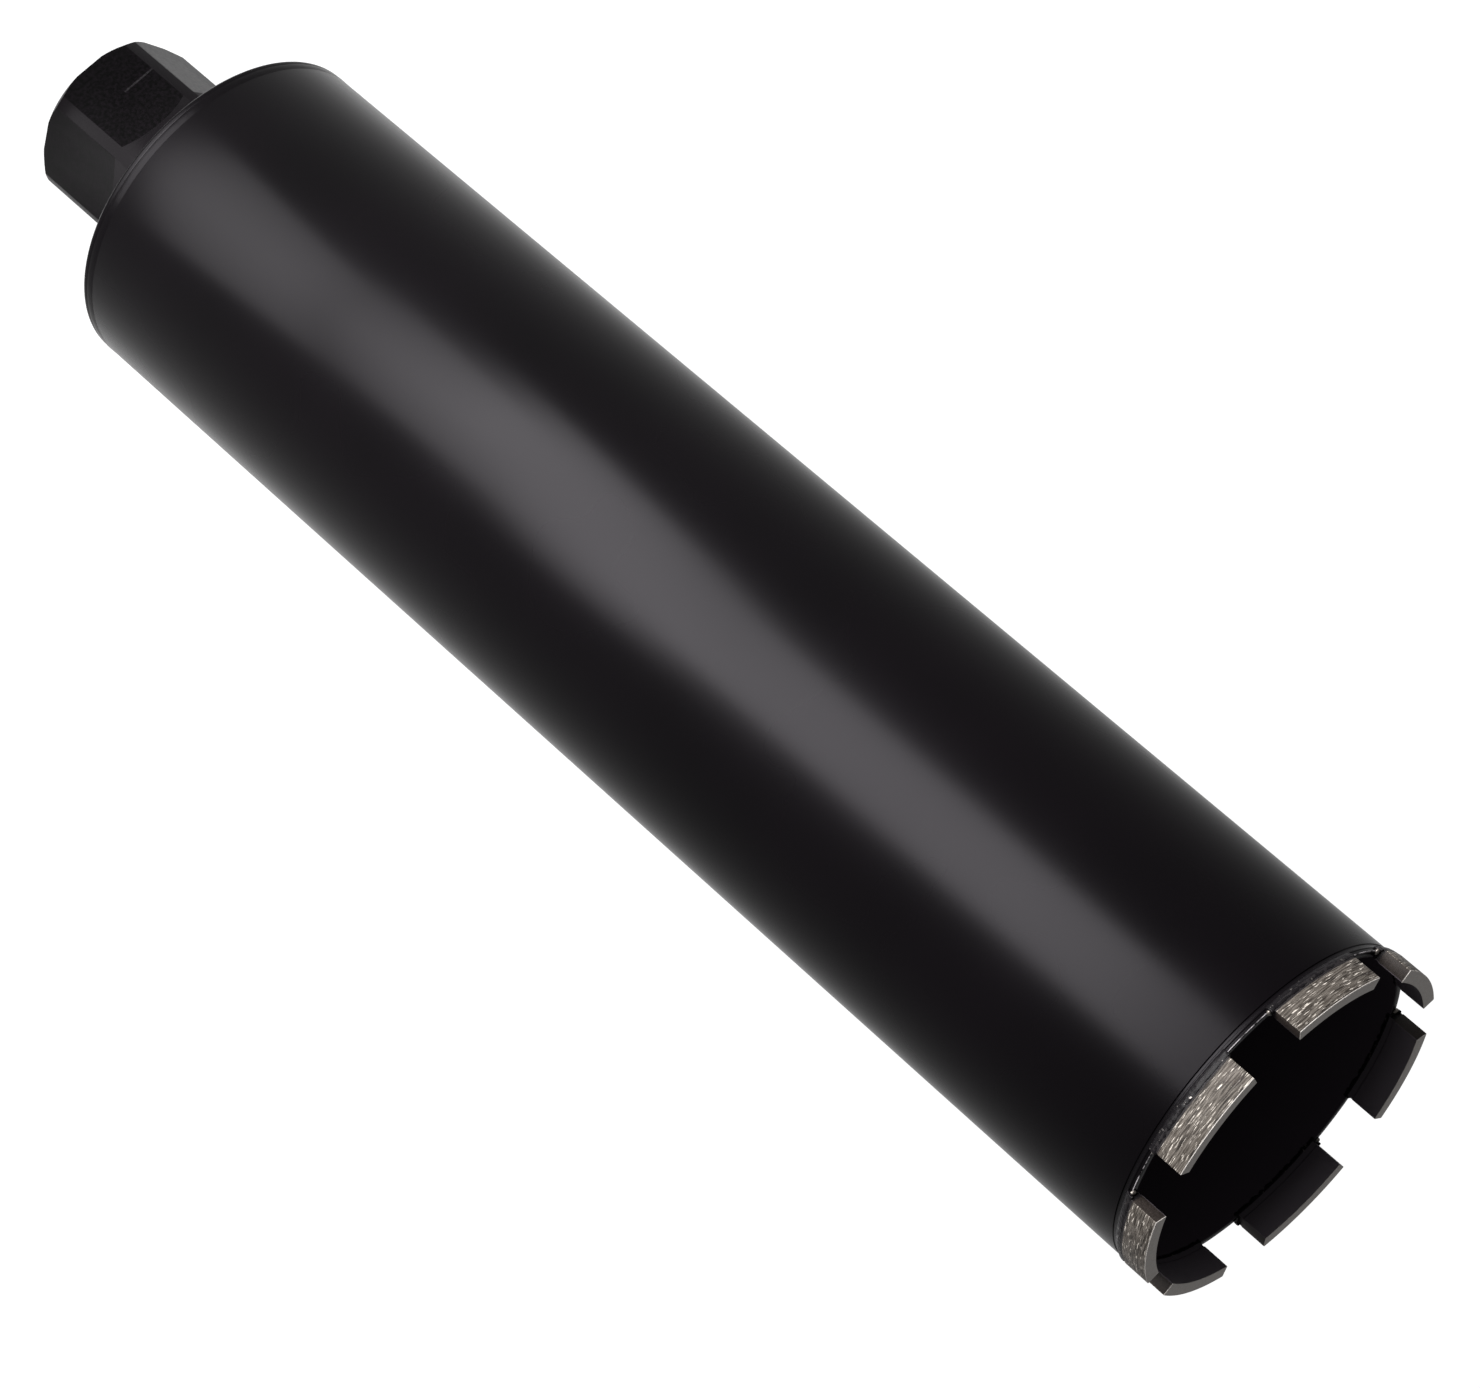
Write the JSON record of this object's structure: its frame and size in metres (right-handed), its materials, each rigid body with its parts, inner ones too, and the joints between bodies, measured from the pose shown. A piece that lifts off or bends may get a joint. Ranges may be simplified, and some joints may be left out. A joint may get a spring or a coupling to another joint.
{
  "type": "diamond core bit",
  "caption": "Long black steel tube with a threaded hex hub at the back and a crown of ground diamond segments at the open front, for drilling round holes in concrete.",
  "frame": {"origin": "centre of the hub's end face, on the axis", "axes": "+Z along the axis from the hub to the cutting crown; one wrench flat of the hub faces -Y"},
  "size_m": [0.0888, 0.0885, 0.4044],
  "materials": {
    "tube_paint": "satin black paint on steel",
    "hub_paint": "satin grey-black paint on machined steel",
    "segment_metal": "ground and dressed sintered metal with diamond grit, painted black at its foot and inside",
    "braze_paint": "brazed seam painted over in black"
  },
  "bodies": {
    "root": {"hub": "hub_paint", "back_plate": "tube_paint", "tube": "tube_paint", "plate_weld": "tube_paint", "hub_weld": "hub_paint", "segment_1": "segment_metal", "segment_2": "segment_metal", "segment_3": "segment_metal", "segment_4": "segment_metal", "segment_5": "segment_metal", "segment_6": "segment_metal", "segment_7": "segment_metal", "braze_1": "braze_paint", "braze_2": "braze_paint", "braze_3": "braze_paint", "braze_4": "braze_paint", "braze_5": "braze_paint", "braze_6": "braze_paint", "braze_7": "braze_paint"}
  },
  "joints": []
}
